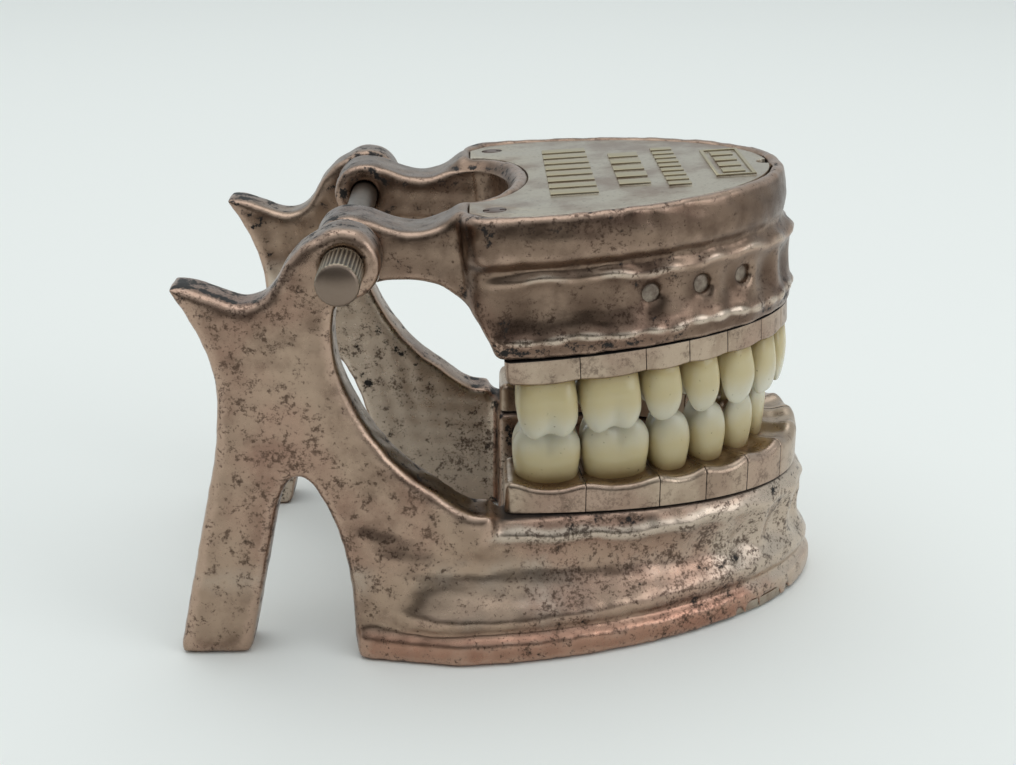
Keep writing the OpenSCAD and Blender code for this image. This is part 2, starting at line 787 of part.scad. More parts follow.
// Screws from the channel up into the root pegs
module row_screws(row, x) {
    both_sides()
        for (k = [0 : TOOTH_COUNT - 1])
            translate([tooth_xy(row, k).x + x, tooth_xy(row, k).y, -floor_t]) {
                translate([0, 0, -screw_head_h])
                    cylinder(r = screw_head_r, h = screw_head_h);
                cylinder(r = screw_d / 2, h = floor_t + screw_grip);
            }
}

module upper_tooth_screws() {
    color("dimgray")
        upper_place()
            translate([0, 0, upper_seam])
                mirror([0, 0, 1])
                    row_screws(UPPER_ROW, upper_arch_x);
}

module lower_tooth_screws() {
    color("dimgray")
        translate([0, 0, lower_seam])
            row_screws(LOWER_ROW, lower_arch_x);
}

lower_jaw();
upper_jaw();
top_cover();
top_cover_screws();
bottom_cover();
bottom_cover_screws();
hinge_shaft();
right_thumb_nut();
left_thumb_nut();
cheek_plugs();
upper_tooth_screws();
lower_tooth_screws();
for (k = [0 : TOOTH_COUNT - 1]) {
    upper_gum(k);
    lower_gum(k);
    upper_tooth(k, false);
    upper_tooth(k, true);
    lower_tooth(k, false);
    lower_tooth(k, true);
}
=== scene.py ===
"""Hinged metal typodont: its looks, in metres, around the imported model."""
import json
import math

import bmesh
import bpy
import numpy as np
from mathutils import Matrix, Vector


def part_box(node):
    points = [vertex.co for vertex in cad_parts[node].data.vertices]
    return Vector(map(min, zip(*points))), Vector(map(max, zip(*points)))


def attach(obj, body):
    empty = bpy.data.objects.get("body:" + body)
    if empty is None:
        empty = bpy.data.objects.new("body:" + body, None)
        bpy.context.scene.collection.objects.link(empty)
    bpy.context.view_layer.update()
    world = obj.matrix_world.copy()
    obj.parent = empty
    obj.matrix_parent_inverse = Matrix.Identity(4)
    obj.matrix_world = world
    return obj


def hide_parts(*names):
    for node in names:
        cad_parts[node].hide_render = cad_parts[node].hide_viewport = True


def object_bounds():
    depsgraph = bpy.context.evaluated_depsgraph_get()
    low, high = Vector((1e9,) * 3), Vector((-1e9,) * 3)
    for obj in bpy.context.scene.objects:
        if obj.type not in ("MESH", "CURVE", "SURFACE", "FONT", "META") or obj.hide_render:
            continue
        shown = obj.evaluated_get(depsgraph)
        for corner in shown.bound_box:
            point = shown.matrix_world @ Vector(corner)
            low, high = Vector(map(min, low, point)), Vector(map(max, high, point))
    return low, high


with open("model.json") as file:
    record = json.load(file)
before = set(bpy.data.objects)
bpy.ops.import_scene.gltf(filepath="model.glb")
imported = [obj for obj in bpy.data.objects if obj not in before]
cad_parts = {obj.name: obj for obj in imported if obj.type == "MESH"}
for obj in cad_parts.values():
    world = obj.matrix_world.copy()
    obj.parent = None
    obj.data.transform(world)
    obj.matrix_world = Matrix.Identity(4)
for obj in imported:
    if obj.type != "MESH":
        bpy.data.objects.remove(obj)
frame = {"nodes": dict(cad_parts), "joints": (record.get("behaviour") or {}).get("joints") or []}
cad_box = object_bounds()
nodes = frame["nodes"]

# Studio ------------------------------------------------------------------------------------
# A pale seamless floor, a soft box overhead and a soft fill, in a pale room that is dim
# behind the camera, so that upright polished faces look darker than those that look up.


def linear(code, alpha=1.0):
    """Turns an sRGB hex colour into linear light, as a shader wants it."""
    parts = [int(code[i:i + 2], 16) / 255 for i in (1, 3, 5)]
    return tuple(c / 12.92 if c <= 0.04045 else ((c + 0.055) / 1.055) ** 2.4 for c in parts) + (alpha,)


def add(tree, kind, sockets=None, **settings):
    """Adds a shader node; settings are its properties, sockets its input values or links."""
    node = tree.nodes.new("ShaderNode" + kind)
    for name, value in settings.items():
        setattr(node, name, value)
    for name, value in (sockets or {}).items():
        if isinstance(value, bpy.types.NodeSocket):
            tree.links.new(value, node.inputs[name])
        else:
            node.inputs[name].default_value = value
    return node


def new_material(name):
    """An empty node material, with its output."""
    material = bpy.data.materials.new(name)
    material.use_nodes = True
    tree = material.node_tree
    tree.nodes.clear()
    return material, tree, tree.nodes.new("ShaderNodeOutputMaterial")


scene = bpy.context.scene
scene.view_settings.view_transform = "Standard"

camera = bpy.data.objects.new("camera", bpy.data.cameras.new("camera"))
camera.location = (-0.0054, -0.24714, 0.12317)
camera.rotation_euler = (math.radians(90 - 19.884), 0, math.radians(-1.1456))
camera.data.lens = 54.2
camera.data.sensor_width = 36
camera.data.clip_start = 0.01
scene.collection.objects.link(camera)
scene.camera = camera

world = bpy.data.worlds.new("pale_room")
world.use_nodes = True
tree = world.node_tree
tree.nodes.clear()
toward = add(tree, "SeparateXYZ", {0: add(tree, "TexCoord").outputs["Generated"]})
behind = add(tree, "MapRange", {"Value": toward.outputs["Y"], "From Min": 0.1, "From Max": -0.5},
             interpolation_type="SMOOTHSTEP")
low = add(tree, "MapRange", {"Value": toward.outputs["Z"], "From Min": 0.7, "From Max": 0.3},
          interpolation_type="SMOOTHSTEP")
dim = add(tree, "Math", {0: behind.outputs[0], 1: low.outputs[0]}, operation="MULTIPLY")
room = add(tree, "Mix", {0: dim.outputs[0], 6: linear("#e2ebee"), 7: linear("#4b4946")}, data_type="RGBA")
air = add(tree, "Background", {"Color": room.outputs[2], "Strength": 0.84})
tree.links.new(air.outputs[0], tree.nodes.new("ShaderNodeOutputWorld").inputs["Surface"])
scene.world = world

for name, place, turn, size, power in (
        ("overhead", (-0.1, 0.15, 1.3), (math.radians(6), math.radians(-4), 0), 1.5, 7.0),
        ("right_fill", (0.9, -0.55, 0.45), (math.radians(68), 0, math.radians(58)), 0.6, 2.4)):
    lamp = bpy.data.lights.new(name, "AREA")
    lamp.size = size
    lamp.energy = power
    lamp.color = linear("#f6fbff")[:3]
    holder = bpy.data.objects.new(name, lamp)
    holder.location = place
    holder.rotation_euler = turn
    scene.collection.objects.link(holder)

floor_mesh = bpy.data.meshes.new("floor")
floor_half = 4.0
floor_mesh.from_pydata([(-floor_half, -floor_half, 0), (floor_half, -floor_half, 0),
                        (floor_half, floor_half, 0), (-floor_half, floor_half, 0)], [], [(0, 1, 2, 3)])
floor = bpy.data.objects.new("floor", floor_mesh)
scene.collection.objects.link(floor)
material, tree, output = new_material("pale_backdrop_paper")
paper = add(tree, "BsdfPrincipled", {
    "Base Color": linear("#f4f3ee"), "Roughness": 0.75, "Specular IOR Level": 0.2})
tree.links.new(paper.outputs[0], output.inputs["Surface"])
floor_mesh.materials.append(material)

# Lower jaw casting -------------------------------------------------------------------------
# One bronze casting, silver plated and long since worn: horseshoe base, two rami with legs,
# horns and hinge ears. Its cheek sides are modelled like bone over the roots of the teeth.

MM = 0.001
hinge = [j for j in frame["joints"] if j["name"] == "jaw_hinge"][0]["pos_m"]
hinge_x, hinge_z = hinge[0] / MM, hinge[2] / MM
front_x = cad_box[1][0] / MM


def even_net(node, voxel):
    """A copy of a CAD node, merged and made over as quads one voxel apart; points in mm."""
    mesh = nodes[node].data.copy()
    work = bmesh.new()
    work.from_mesh(mesh)
    bmesh.ops.remove_doubles(work, verts=work.verts, dist=1e-6)
    work.to_mesh(mesh)
    work.free()
    blank = bpy.data.objects.new(node + "_blank", mesh)
    scene.collection.objects.link(blank)
    net = blank.modifiers.new("net", "REMESH")
    net.mode = "VOXEL"
    net.voxel_size = voxel * MM
    even = bpy.data.meshes.new_from_object(blank.evaluated_get(bpy.context.evaluated_depsgraph_get()))
    points = np.empty(len(even.vertices) * 3)
    even.vertices.foreach_get("co", points)
    corners = np.empty(len(even.loops), np.int32)
    even.loops.foreach_get("vertex_index", corners)
    bpy.data.objects.remove(blank)
    return points.reshape(-1, 3) / MM, corners.reshape(-1, 4)


def around(values, quads):
    """Mean of each point's neighbours along the sides of its quads."""
    total = np.zeros_like(values)
    count = np.zeros(len(values))
    for a in range(4):
        for b in ((a + 1) % 4, (a + 3) % 4):
            count += np.bincount(quads[:, a], minlength=len(values))
            for i in range(values.shape[1]):
                total[:, i] += np.bincount(quads[:, a], values[quads[:, b], i], len(values))
    return total / np.maximum(count, 1)[:, None]


def relax(values, quads, passes, share=0.5):
    """Moves each value part of the way to its neighbours' mean, over and over."""
    for _ in range(passes):
        values = values + share * (around(values, quads) - values)
    return values


def facing(points, quads):
    """Unit normal at each point: the sum of the crossed diagonals of its quads."""
    across = np.cross(points[quads[:, 2]] - points[quads[:, 0]], points[quads[:, 3]] - points[quads[:, 1]])
    total = np.stack([sum(np.bincount(quads[:, c], across[:, i], len(points)) for c in range(4))
                      for i in range(3)], 1)
    return total / np.maximum(np.linalg.norm(total, axis=1), 1e-9)[:, None]


def ramp(v, low, high):
    """Smooth step from 0 at low to 1 at high."""
    u = np.clip((v - low) / (high - low), 0, 1)
    return u * u * (3 - 2 * u)


def bell(v, middle, width):
    """Bell curve of height 1."""
    return np.exp(-((v - middle) / width) ** 2)


def signed_power(v, p):
    """The size of v to the power p, with the sign of v."""
    return np.sign(v) * np.abs(v) ** p


def arch(t, depth, half, n):
    """Plan of a jaw: depth times cos t forward and half times sin t sideways, each to the power 2/n."""
    t = np.radians(t)
    return np.stack([depth * signed_power(np.cos(t), 2 / n), half * signed_power(np.sin(t), 2 / n)], -1)


def arch_normal(t, depth, half, n):
    """Outward normal of the arch, square to a step of one degree along it."""
    step = arch(t + 0.5, depth, half, n) - arch(t - 0.5, depth, half, n)
    return np.stack([step[..., 1], -step[..., 0]], -1) / np.linalg.norm(step, axis=-1)[..., None]


class Row:
    """A row of seven teeth a side: its arch, how far the crowns stand in, and where each tooth is."""

    def __init__(self, x, depth, half, n, front_in, side_in, widths, depths):
        self.x, self.shape, self.front_in, self.side_in = x, (depth, half, n), front_in, side_in
        self.widths, self.depths = np.array(widths, float), depths
        t = np.arange(0, 91, 2.0)
        run = np.linalg.norm(np.diff(self.at(t, 0), axis=0), axis=1)
        self.length = np.concatenate([[0], np.cumsum(run)])
        share = self.length[-1] / self.widths.sum()
        ends = np.concatenate([[0], np.cumsum(self.widths)]) * share
        self.edges = np.interp(ends, self.length, t)
        self.mids = np.interp((ends[1:] + ends[:-1]) / 2, self.length, t)
        self.crown_w = self.widths * share

    def off(self, t, out):
        """Point set out from the arch by out, in the jaw's own plan."""
        t = np.asarray(t, float)
        return arch(t, *self.shape) + np.asarray(out)[..., None] * arch_normal(t, *self.shape)

    def at(self, t, inward):
        """Point inward from the cheek faces of the crowns."""
        stand = self.side_in + (self.front_in - self.side_in) * np.cos(np.radians(t)) ** 2
        return self.off(t, -stand - inward)

    def tooth_at(self, t):
        """Place in the row as a number: 0 at the midline, 1 after the first tooth, up to 7."""
        return np.interp(t, self.edges, np.arange(8))


def place_on_arch(points, row):
    """For points round a jaw: angle t along its arch, how far out (1 on the arch), and the outward normal."""
    depth, half, n = row.shape
    x = np.maximum(points[:, 0] - row.x, 0)
    y = np.abs(points[:, 1])
    t = np.degrees(np.arctan2((y / half) ** (n / 2), (x / depth) ** (n / 2)))
    far = ((x / depth) ** n + (y / half) ** n) ** (1 / n)
    out = arch_normal(np.clip(t, 0, 89), depth, half, n)
    out = np.stack([out[:, 0], out[:, 1] * np.sign(points[:, 1]), np.zeros(len(points))], 1)
    return t, far, out


def new_piece(name, points, faces, body, replaced, material, smooth=True, values=None):
    """Puts points in mm and faces into a mesh object at the origin, and tells the frame what it is."""
    mesh = bpy.data.meshes.new(name)
    mesh.from_pydata((np.asarray(points) * MM).tolist(), [], [list(map(int, f)) for f in faces])
    mesh.validate()
    for key, value in (values or {}).items():
        mesh.attributes.new(key, "FLOAT", "POINT").data.foreach_set("value", np.asarray(value, np.float32))
    mesh.polygons.foreach_set("use_smooth", [smooth] * len(mesh.polygons))
    mesh.materials.append(material)
    piece = bpy.data.objects.new(name, mesh)
    scene.collection.objects.link(piece)
    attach(piece, body)
    if replaced:
        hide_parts(*replaced)
    return piece


def uneven(points, normals, height=0.045):
    """Points moved along their normals by crossed sine waves 5 to 9 mm long, as filing leaves a face."""
    x, y, z = points.T
    wave = np.sin(0.9 * x + 1.1 * z + 0.4 * y) * np.sin(0.8 * z - 0.7 * x + 0.9 * y)
    wave = wave + 0.6 * np.sin(1.3 * x - 0.5 * z + 2) * np.cos(1.2 * y + 0.9 * z)
    return points + height * wave[:, None] * normals


def bored(points, radius=2.33):
    """Points nearer the hinge axis than radius, moved straight out to it, so that the shaft runs clear."""
    dx, dz = points[:, 0] - hinge_x, points[:, 2] - hinge_z
    grow = np.maximum(radius / np.maximum(np.hypot(dx, dz), 1e-6), 1)
    return np.stack([hinge_x + dx * grow, points[:, 1], hinge_z + dz * grow], 1)


def wear(points, quads):
    """Worn crests, hollows that hold dirt, and the strip beside each edge, where tarnish and painted shade
    go, each from 0 to 1.
    """
    depth = np.einsum("ij,ij->i", relax(points, quads, 24) - points, facing(points, quads))
    depth = relax(depth[:, None], quads, 2)[:, 0]
    crest = np.clip(-depth / 0.30, 0, 1)
    hollow = np.clip(depth / 0.30, 0, 1)
    edge_tarnish_and_painted_shade = np.clip(2.4 * relax(crest[:, None], quads, 22)[:, 0] - 1.6 * crest, 0, 1)
    return crest, hollow, edge_tarnish_and_painted_shade


# Worn silver plate on bronze: satin, since it was cast, filed and plated, then handled for
# years. Tan where the plate is thin, silvery on ridges, brown beside edges as tarnish with
# painted shade, black in patches; painted shade and painted light go on some zones and faces.
def plated_bronze(name, tint, brown, pink, specks, tone_and_painted_shade_tint="#c8927b"):
    """Satin plate of one tint, clouded with brown and pink, tinted in zones (some as painted shade), darkened
    beside edges (partly painted shade), then stained and blackened.
    """
    material, tree, output = new_material(name)
    place = add(tree, "TexCoord").outputs["Object"]
    crest, hollow, edge_tarnish_and_painted_shade, tone_and_painted_shade, silver, seam = [
        add(tree, "Attribute", attribute_name=n).outputs["Fac"]
        for n in ("crest", "hollow", "edge_tarnish_and_painted_shade", "tone_and_painted_shade", "silver", "seam")]
    # Cloudy mottling about 9 mm across, stains about 2.5 mm, and specks about 0.5 mm
    cloud = add(tree, "TexNoise", {"Vector": place, "Scale": 110, "Detail": 6, "Roughness": 0.62}).outputs[0]
    stain = add(tree, "TexNoise", {"Vector": place, "Scale": 420, "Detail": 7, "Roughness": 0.72}).outputs[0]
    speck = add(tree, "TexNoise", {"Vector": place, "Scale": 1900, "Detail": 4, "Roughness": 0.7}).outputs[0]
    wide = add(tree, "TexNoise", {"Vector": place, "Scale": 42, "Detail": 3, "Roughness": 0.5}).outputs[0]
    brownish = add(tree, "MapRange", {"Value": cloud, "From Min": 0.44, "From Max": 0.66, "To Max": 0.62},
                   interpolation_type="SMOOTHSTEP").outputs[0]
    colour = add(tree, "Mix", {0: brownish, 6: linear(tint), 7: linear(brown)}, data_type="RGBA").outputs[2]
    blush = add(tree, "MapRange", {"Value": wide, "From Min": 0.48, "From Max": 0.66, "To Max": 0.5},
                interpolation_type="SMOOTHSTEP").outputs[0]
    colour = add(tree, "Mix", {0: blush, 6: colour, 7: linear(pink)}, data_type="RGBA").outputs[2]
    # Painted shade: on the upper jaw this zone tint is a dark brown laid on the root band and front lip; on
    # the lower jaw it is the real copper tone low on the casting
    colour = add(tree, "Mix", {0: tone_and_painted_shade, 6: colour, 7: linear(tone_and_painted_shade_tint)}, data_type="RGBA").outputs[2]
    # Painted shade with tarnish: the strip beside each edge is painted brown, partly tarnish and partly
    # standing in for the shading along rounded edges
    edge = add(tree, "Math", {0: edge_tarnish_and_painted_shade, 1: 0.9}, operation="MULTIPLY").outputs[0]
    colour = add(tree, "Mix", {0: edge, 6: colour, 7: linear("#5c463a")}, data_type="RGBA").outputs[2]
    rubbed = add(tree, "Math", {0: crest, 1: stain}, operation="MULTIPLY").outputs[0]
    rubbed = add(tree, "MapRange", {"Value": rubbed, "From Min": 0.22, "From Max": 0.55, "To Max": 0.6},
                 interpolation_type="SMOOTHSTEP").outputs[0]
    colour = add(tree, "Mix", {0: rubbed, 6: colour, 7: linear("#c2a592")}, data_type="RGBA").outputs[2]
    # This mask lays the silver tone: real plate on ridges and arms, and painted light on the inner faces of
    # the lower rami
    plate = add(tree, "Math", {0: cloud, 1: 0.9, 2: silver}, operation="MULTIPLY_ADD").outputs[0]
    plate = add(tree, "MapRange", {"Value": plate, "From Min": 0.72, "From Max": 1.15, "To Max": 0.9},
                interpolation_type="SMOOTHSTEP").outputs[0]
    colour = add(tree, "Mix", {0: plate, 6: colour, 7: linear("#c9b8a7")}, data_type="RGBA").outputs[2]
    # Stains, heavier in hollows, and fine brown pepper
    damp = add(tree, "Math", {0: hollow, 1: 0.13, 2: stain}, operation="MULTIPLY_ADD").outputs[0]
    stained = add(tree, "MapRange", {"Value": damp, "From Min": 0.53, "From Max": 0.74, "To Max": 0.5},
                  interpolation_type="SMOOTHSTEP").outputs[0]
    colour = add(tree, "Mix", {0: stained, 6: colour, 7: linear("#54443a")}, data_type="RGBA").outputs[2]
    pepper = add(tree, "Math", {0: stain, 1: speck}, operation="MULTIPLY").outputs[0]
    pepper = add(tree, "Math", {0: wide, 1: 0.3, 2: pepper}, operation="MULTIPLY_ADD").outputs[0]
    pepper = add(tree, "MapRange", {"Value": pepper, "From Min": 0.42, "From Max": 0.51, "To Max": specks},
                 interpolation_type="SMOOTHSTEP").outputs[0]
    colour = add(tree, "Mix", {0: pepper, 6: colour, 7: linear("#4b3a31")}, data_type="RGBA").outputs[2]
    # Black tarnish in ragged patches where dirt lies and where the cloud runs high; beside edges the black is
    # partly tarnish, partly painted shade
    black = add(tree, "Math", {0: edge_tarnish_and_painted_shade, 1: 0.36, 2: stain}, operation="MULTIPLY_ADD").outputs[0]
    black = add(tree, "Math", {0: hollow, 1: 0.09, 2: black}, operation="MULTIPLY_ADD").outputs[0]
    black = add(tree, "Math", {0: wide, 1: 0.42, 2: black}, operation="MULTIPLY_ADD").outputs[0]
    black = add(tree, "Math", {0: speck, 1: 0.2, 2: black}, operation="MULTIPLY_ADD").outputs[0]
    black = add(tree, "MapRange", {"Value": black, "From Min": 1.03, "From Max": 1.11},
                interpolation_type="SMOOTHSTEP").outputs[0]
    black = add(tree, "Math", {0: black, 1: seam}, operation="MAXIMUM").outputs[0]
    colour = add(tree, "Mix", {0: black, 6: colour, 7: linear("#1f1916")}, data_type="RGBA").outputs[2]
    rough = add(tree, "MapRange", {
        "Value": stain, "From Min": 0.3, "From Max": 0.7, "To Min": 0.24, "To Max": 0.38})
    rough = add(tree, "Math", {0: black, 1: 0.25, 2: rough.outputs[0]}, operation="MULTIPLY_ADD").outputs[0]
    bare = add(tree, "MapRange", {"Value": black, "To Min": 1.0, "To Max": 0.35}).outputs[0]
    grain = add(tree, "Math", {0: speck, 1: 0.5, 2: stain}, operation="MULTIPLY_ADD").outputs[0]
    relief = add(tree, "Bump", {"Height": grain, "Strength": 0.35, "Distance": 0.00012}).outputs[0]
    metal = add(tree, "BsdfPrincipled", {"Base Color": colour, "Metallic": bare, "Roughness": rough,
                                         "Normal": relief})
    tree.links.new(metal.outputs[0], output.inputs["Surface"])
    return material


worn_plate_with_painted_light_and_shade = plated_bronze("worn_silver_plate_on_bronze", "#af9783", "#6b5447", "#a68070", 0.75)

# Sizes of the two tooth rows, as in the CAD source
LOWER = Row(front_x - 49.8 - 3.9, 49.8, 28.6, 2.3, 5.6, 3.2,
            [5.6, 6.1, 7, 7.2, 7.5, 11.4, 11.2], [5.4, 5.6, 7, 7.4, 7.8, 9, 8.8])
UPPER = Row(front_x - 47.1 - 7.6, 47.1, 28.5, 2, 0.2, 0.2,
            [9.2, 6.8, 7.8, 7.2, 7.4, 10.4, 10.2], [6.6, 6.2, 7.6, 8.6, 8.8, 10, 9.8])
LOWER_SEAM = 22

points, quads = even_net("lower_jaw", 0.6)
points = relax(points, quads, 12)
t, far, out = place_on_arch(points, LOWER)
x, z = points[:, 0] - LOWER.x, points[:, 2]
cheek = ramp(far, 0.86, 0.94) * ramp(np.einsum("ij,ij->i", facing(points, quads), out), 0.1, 0.55)
place = LOWER.tooth_at(t)
root = 0.5 - 0.5 * np.cos(2 * np.pi * place)
frontness = ramp(68 - t, 0, 45)
ridge_z = 19.3 - 0.5 * root + 0.3 * np.sin(2.1 * place)
ridge = bell(z, ridge_z, 1.05) * ramp(x, -7, 2)
bulge = root ** 1.4 * bell(z, 14.2, 4.2) * (0.12 + 0.88 * frontness) * ramp(x, -4, 4)
roll = bell(z, 7.6 - 0.35 * np.cos(0.9 * place), 2.1) * ramp(x, -21, -13)
relief = 0.85 * ridge + 1.5 * bulge + 1.25 * roll
relief -= 1.5 * bell(z, 13.2, 3.7) * ramp(x, -22, -4)
relief -= 0.5 * bell(z, 4.9, 0.7) * ramp(x, -22, -15)
points = points + (relief * cheek)[:, None] * out
points = relax(points, quads, 3)
points = bored(uneven(points, facing(points, quads)))
points[:, 2] = np.maximum(points[:, 2], 0)
crest, hollow, edge_tarnish_and_painted_shade = wear(points, quads)
# Painted light: the lower part of the inner faces of the rami is painted the lighter silver tone, standing in
# for the bright reflection those faces show
painted_light_inside = ramp(-facing(points, quads)[:, 1] * np.sign(points[:, 1]), 0.6, 0.95)
painted_light_inside = painted_light_inside * ramp(x, 4, -4) * ramp(points[:, 2], 54, 40)
plated = 0.75 * ridge + 1.3 * bulge * frontness + 0.1 * roll + 0.45 * frontness + 0.18
plated = plated + 0.25 * bell(z, 13.2, 3.7)
# The silver mask adds painted light on the inner rami faces to the real plate of the cheek; the strip beside
# edges holds tarnish and painted shade
new_piece("lower_jaw_casting", points, quads, "lower_jaw_body", ["lower_jaw"],
          worn_plate_with_painted_light_and_shade, values={
    "crest": crest, "hollow": hollow * (1 - 0.7 * cheek), "edge_tarnish_and_painted_shade": edge_tarnish_and_painted_shade * (1 - 0.6 * cheek),
    "tone_and_painted_shade": 0.6 * ramp(5.8 - points[:, 2], 0, 1.8) * ramp(points[:, 0], -28, -22),
    "silver": cheek * plated + 0.85 * painted_light_inside,
    "seam": 0.95 * ramp(points[:, 2], 21.4, 21.75) * ramp(x, -3, -1)})

# Upper jaw casting -------------------------------------------------------------------------
# The second casting: arch body with its palate, a thick lip round the top, the U notch and
# two arms with hinge eyes. Wavy ridges frame the band over the roots of the teeth.

UPPER_SEAM = hinge_z + 5 - 22.8
TILT = math.radians(3.44)


def levelled(points, angle):
    """Points turned about the hinge axis: by the tilt to level them, by minus the tilt to put them back."""
    dx, dz = points[:, 0] - hinge_x, points[:, 2] - hinge_z
    return np.stack([hinge_x + dx * math.cos(angle) + dz * math.sin(angle), points[:, 1],
                     hinge_z - dx * math.sin(angle) + dz * math.cos(angle)], 1)


points, quads = even_net("upper_jaw", 0.5)
points = levelled(points, TILT)
points = relax(points, quads, 12)
t, far, out = place_on_arch(points, UPPER)
x, z = points[:, 0] - UPPER.x, points[:, 2] - UPPER_SEAM
look = np.einsum("ij,ij->i", facing(points, quads), out)
# The step under the lip is eased into a hollow slope
for _ in range(14):
    ease = (bell(z, 14.4, 1.8) * ramp(far, 0.9, 0.96) * ramp(x, -12, 0))[:, None]
    points = points + 0.5 * ease * (around(points, quads) - points)
# The edge of the U notch is bevelled
notch = np.hypot(np.maximum(x + 5.4, 0) / 6.6, points[:, 1] / 13.7)
points[:, 2] -= 1.3 * (1 - ramp(notch, 1.0, 1.28)) * ramp(z, 20.5, 22.5) * ramp(x, -16, -6)
cheek = ramp(far, 0.88, 0.95) * ramp(look, -0.2, 0.5) * ramp(x, -9, 3)
place = UPPER.tooth_at(t)
root = 0.5 - 0.5 * np.cos(2 * np.pi * place)
frontness = ramp(75 - t, 0, 50)
high_z = 12.0 + 0.75 * root - 0.35 * np.sin(1.7 * place)
low_z = 3.2 - 0.35 * root + 0.25 * np.sin(2.3 * place)
high_ridge = bell(z, high_z, 0.9) * (0.6 + 0.4 * root)
low_ridge = bell(z, low_z, 0.8) * (0.6 + 0.4 * np.cos(2 * np.pi * place + 1) ** 2)
relief = 0.95 * high_ridge + 0.95 * low_ridge
relief -= 1.0 * bell(z, 7.6, 3.2) + 0.75 * bell(z, 14.6, 1.1)
relief += 0.9 * root * bell(z, 7.6, 3.6) * (0.3 + 0.7 * frontness)
relief += 0.35 * bell(z, 18.5, 2.2)
points = points + (relief * cheek)[:, None] * out
points = relax(points, quads, 3)
points = bored(uneven(points, facing(points, quads)))
crest, hollow, edge_tarnish_and_painted_shade = wear(points, quads)
upper_level = points
arms = ramp(x, 0, -8)
# Painted shade: the band between the roots, and the lip at the front, are painted dark brown, standing in for
# the dark room they reflect
painted_shade_zone = 0.75 * bell(z, 7.6, 3.4) * np.cos(np.pi * place + 0.4) ** 2
painted_shade_zone = np.clip(painted_shade_zone + 0.7 * bell(z, 18.5, 3.0) * frontness ** 2, 0, 1)
upper_plate = plated_bronze(
    "tarnished_silver_plate_on_bronze", "#937d6c", "#4c3a31", "#8a6a5e", 0.8, "#4a382e")
# Here the zone mask is painted shade, and the strip beside edges holds tarnish and painted shade
new_piece("upper_jaw_casting", levelled(points, -TILT), quads, "upper_jaw_body",
          ["upper_jaw"], upper_plate, values={
              "crest": crest, "hollow": hollow, "edge_tarnish_and_painted_shade": edge_tarnish_and_painted_shade * (1 - 0.45 * cheek),
              "tone_and_painted_shade": cheek * painted_shade_zone,
              "silver": cheek * (0.8 * low_ridge + 0.6 * high_ridge) + 0.25 * arms,
              "seam": 0.95 * ramp(z, 0.55, 0.2) * ramp(look, 0.1, 0.4) * ramp(x, -3, -1)})

# Gum segments ------------------------------------------------------------------------------
# Cast blocks of the same bronze, one under each tooth, filed to meet at fine black joints
# and held to the jaw by the tooth screws. The lower ones have a ledge scalloped to the teeth.


def rounded_loop(width, height, outer_r, inner_r, base_r=0.16):
    """Closed loop as (inward, up): up the cheek side, across the top and back, joined by quarter circles."""
    q = np.linspace(0, np.pi / 2, 6)
    quarters = [(outer_r, height - outer_r, outer_r, np.pi - q),
                (width - inner_r, height - inner_r, inner_r, np.pi / 2 - q),
                (width - base_r, base_r, base_r, -q), (base_r, base_r, base_r, -np.pi / 2 - q)]
    arcs = [np.stack([cx + r * np.cos(a), cz + r * np.sin(a)], 1) for cx, cz, r, a in quarters]
    sides = []
    for arc, after, steps in zip(arcs, arcs[1:] + arcs[:1], (20, 5, 3, 5)):
        share = np.linspace(0, 1, steps + 2)[1:-1, None]
        sides += [arc, arc[-1] + share * (after[0] - arc[-1])]
    return np.concatenate(sides)


def tube_faces(rings, around_count):
    """Quads of a grid that is closed round its rings, with one flat face over each end."""
    a = np.arange(rings - 1)[:, None] * around_count
    b = np.arange(around_count)[None, :]
    c = (b + 1) % around_count
    sides = np.stack([a + b, a + c, a + around_count + c, a + around_count + b], -1).reshape(-1, 4)
    first = list(range(around_count))[::-1]
    last = list(range((rings - 1) * around_count, rings * around_count))
    return sides.tolist() + [first, last]


def facing_out(points, faces):
    """The faces, turned round if the volume they enclose comes out negative."""
    corners = [np.array([f[0] for f in faces for _ in f[2:]]), np.array([v for f in faces for v in f[1:-1]]),
               np.array([v for f in faces for v in f[2:]])]
    volume = np.einsum("ij,ij->", points[corners[0]], np.cross(points[corners[1]], points[corners[2]]))
    return faces if volume > 0 else [f[::-1] for f in faces]


def both(points, faces):
    """The same shape on both sides of the model."""
    mirrored = points * [1, -1, 1]
    return (np.concatenate([points, mirrored]),
            facing_out(points, faces) + [[v + len(points) for v in f] for f in facing_out(mirrored, faces)])


